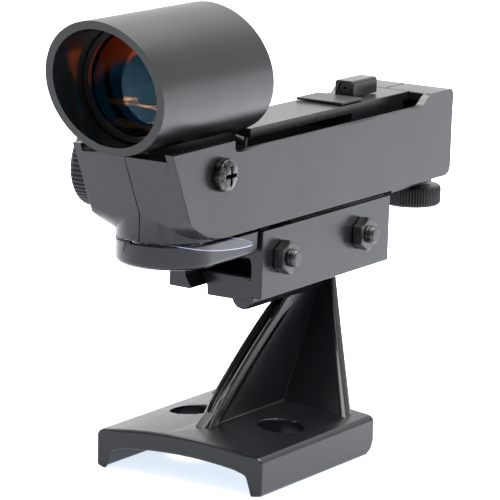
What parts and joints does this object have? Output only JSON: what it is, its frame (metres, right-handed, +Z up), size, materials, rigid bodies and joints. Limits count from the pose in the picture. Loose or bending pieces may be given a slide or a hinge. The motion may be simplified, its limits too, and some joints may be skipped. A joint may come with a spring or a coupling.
{
  "type": "red dot finder",
  "caption": "Telescope red dot finder: slanted reflex lens tube on a slotted housing with emitter turret, adjuster knobs and battery tray, clamped to a dovetail post on an arched foot.",
  "frame": {"origin": "bottom centre of the bounding box, on the plane of the foot legs", "axes": "-Y towards the sky end of the lens tube, +Y towards the observer, +X towards the side of the clamp nuts, +Z up"},
  "size_m": [0.0442, 0.1397, 0.1086],
  "materials": {
    "bracket_plastic": "satin moulded black, fine grain",
    "shell_plastic": "satin moulded black",
    "tube_plastic": "satin moulded black",
    "knob_plastic": "matt moulded black with fine ridges",
    "black_steel": "black nickel plated steel",
    "bright_steel": "bright zinc plated steel",
    "spring_steel": "plain spring steel",
    "nickel_can": "nickel plated can",
    "brass": "turned brass",
    "coated_glass": "polished, thin reflective coating",
    "clear_film": "clear insulating film",
    "red_resin": "tinted clear resin",
    "green_laminate": "solder masked laminate",
    "beige_ceramic": "lacquered ceramic",
    "red_insulation": "wire insulation",
    "black_insulation": "wire insulation"
  },
  "bodies": {
    "bracket": {"mounting_bracket": "bracket_plastic"},
    "clamp": {"clamp_body": "bracket_plastic", "clamp_nut_front": "black_steel", "clamp_nut_rear": "black_steel", "swivel_pin": "bright_steel"},
    "jaw": {"clamp_jaw": "bracket_plastic"},
    "bolt_front": {"clamp_bolt_front": "black_steel"},
    "bolt_rear": {"clamp_bolt_rear": "black_steel"},
    "carrier": {"azimuth_carrier": "bracket_plastic", "tilt_pin": "bright_steel", "azimuth_nut": "brass", "altitude_spring": "spring_steel"},
    "azimuth_adjuster": {"azimuth_knob": "knob_plastic", "azimuth_screw": "bright_steel"},
    "altitude_adjuster": {"altitude_knob": "knob_plastic", "altitude_screw": "bright_steel"},
    "sight": {"housing_right": "shell_plastic", "housing_left": "shell_plastic", "housing_screw_front": "black_steel", "housing_screw_middle": "black_steel", "housing_screw_rear": "black_steel", "sight_deck": "shell_plastic", "emitter_plate": "knob_plastic", "emitter_turret": "bracket_plastic", "red_led": "red_resin", "pinhole_mask": "black_steel", "lens_tube": "tube_plastic", "reflex_lens": "coated_glass", "lens_retaining_ring": "knob_plastic", "tube_screw": "bright_steel", "potentiometer": "knob_plastic", "circuit_board": "green_laminate", "resistor": "beige_ceramic", "led_wire_red": "red_insulation", "led_wire_black": "black_insulation", "battery_contact_negative": "spring_steel", "battery_contact_positive": "spring_steel", "altitude_insert": "brass"},
    "dial": {"brightness_dial": "knob_plastic", "dial_shaft": "bright_steel"},
    "battery_tray": {"battery_cover": "bracket_plastic", "coin_battery": "nickel_can"},
    "pull_tab": {"battery_pull_tab": "clear_film"}
  },
  "joints": [
    {"name": "clamp_slide", "type": "slide", "parent": "bracket", "child": "clamp", "axis": [0, -1, 0], "range_m": [-0.01, 0.03]},
    {"name": "jaw_open", "type": "slide", "parent": "clamp", "child": "jaw", "axis": [-1, 0, 0], "range_m": [0, 0.0021]},
    {"name": "bolt_front_turn", "type": "hinge", "parent": "jaw", "child": "bolt_front", "pos_m": [0, -0.01065, 0.05025], "axis": [-1, 0, 0], "range_deg": [0, 1085]},
    {"name": "bolt_rear_turn", "type": "hinge", "parent": "jaw", "child": "bolt_rear", "pos_m": [0, 0.02475, 0.05025], "axis": [-1, 0, 0], "range_deg": [0, 1085]},
    {"name": "azimuth_knob_turn", "type": "hinge", "parent": "clamp", "child": "azimuth_adjuster", "pos_m": [0, 0.03395, 0.05575], "axis": [1, 0, 0], "range_deg": [-1200, 1200]},
    {"name": "azimuth_swivel", "type": "hinge", "parent": "clamp", "child": "carrier", "pos_m": [0, -0.00405, 0.05575], "axis": [0, 0, 1], "range_deg": [-2, 2]},
    {"name": "altitude_knob_turn", "type": "hinge", "parent": "carrier", "child": "altitude_adjuster", "pos_m": [0.005, 0.06245, 0.05345], "axis": [0, 0, -1], "range_deg": [-480, 1575]},
    {"name": "altitude_tilt", "type": "hinge", "parent": "carrier", "child": "sight", "pos_m": [0, -0.01375, 0.05565], "axis": [1, 0, 0], "range_deg": [-0.7, 2.3], "deforming": ["altitude_spring"]},
    {"name": "brightness_turn", "type": "hinge", "parent": "sight", "child": "dial", "pos_m": [-0.016, -0.04175, 0.07265], "axis": [-1, 0, 0], "range_deg": [0, 270]},
    {"name": "cover_release", "type": "slide", "parent": "sight", "child": "battery_tray", "axis": [0, 0, -1], "range_m": [0, 0.012]},
    {"name": "pull_tab_slide", "type": "slide", "parent": "sight", "child": "pull_tab", "axis": [-1, 0, 0], "range_m": [0, 0.043]}
  ],
  "couplings": [
    {"joint": "bolt_front_turn", "follows": "jaw_open", "rad_per_m": 8976},
    {"joint": "bolt_rear_turn", "follows": "jaw_open", "rad_per_m": 8976},
    {"joint": "azimuth_knob_turn", "follows": "azimuth_swivel", "ratio": 596.9},
    {"joint": "altitude_knob_turn", "follows": "altitude_tilt", "ratio": 683.97}
  ]
}
